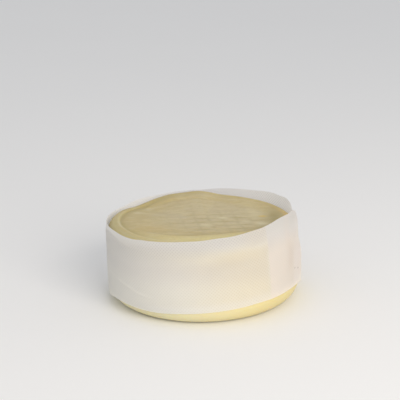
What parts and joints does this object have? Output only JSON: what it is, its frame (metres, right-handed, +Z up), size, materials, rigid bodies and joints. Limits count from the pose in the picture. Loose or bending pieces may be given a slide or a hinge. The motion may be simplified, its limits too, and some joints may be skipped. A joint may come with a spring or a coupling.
{
  "type": "soft cheese wheel in a cloth band",
  "caption": "Small round soft cheese with a smooth pale yellow skin and a cloth imprint on top, held round its side by a wound band of white cloth with an overlapping end.",
  "frame": {"origin": "centre of the cheese's flat underside, on the surface it stands on", "axes": "+Z up, -Y towards the side that the picture shows, +X to the picture's right, where the band's free end is"},
  "size_m": [0.1122, 0.1122, 0.0567],
  "materials": {
    "cheese_skin": "smooth moist pale yellow skin, slightly waxy",
    "cloth": "thin white bonded cloth with a fine diamond emboss"
  },
  "bodies": {
    "root": {"cheese": "cheese_skin", "cloth_band": "cloth"}
  },
  "joints": []
}
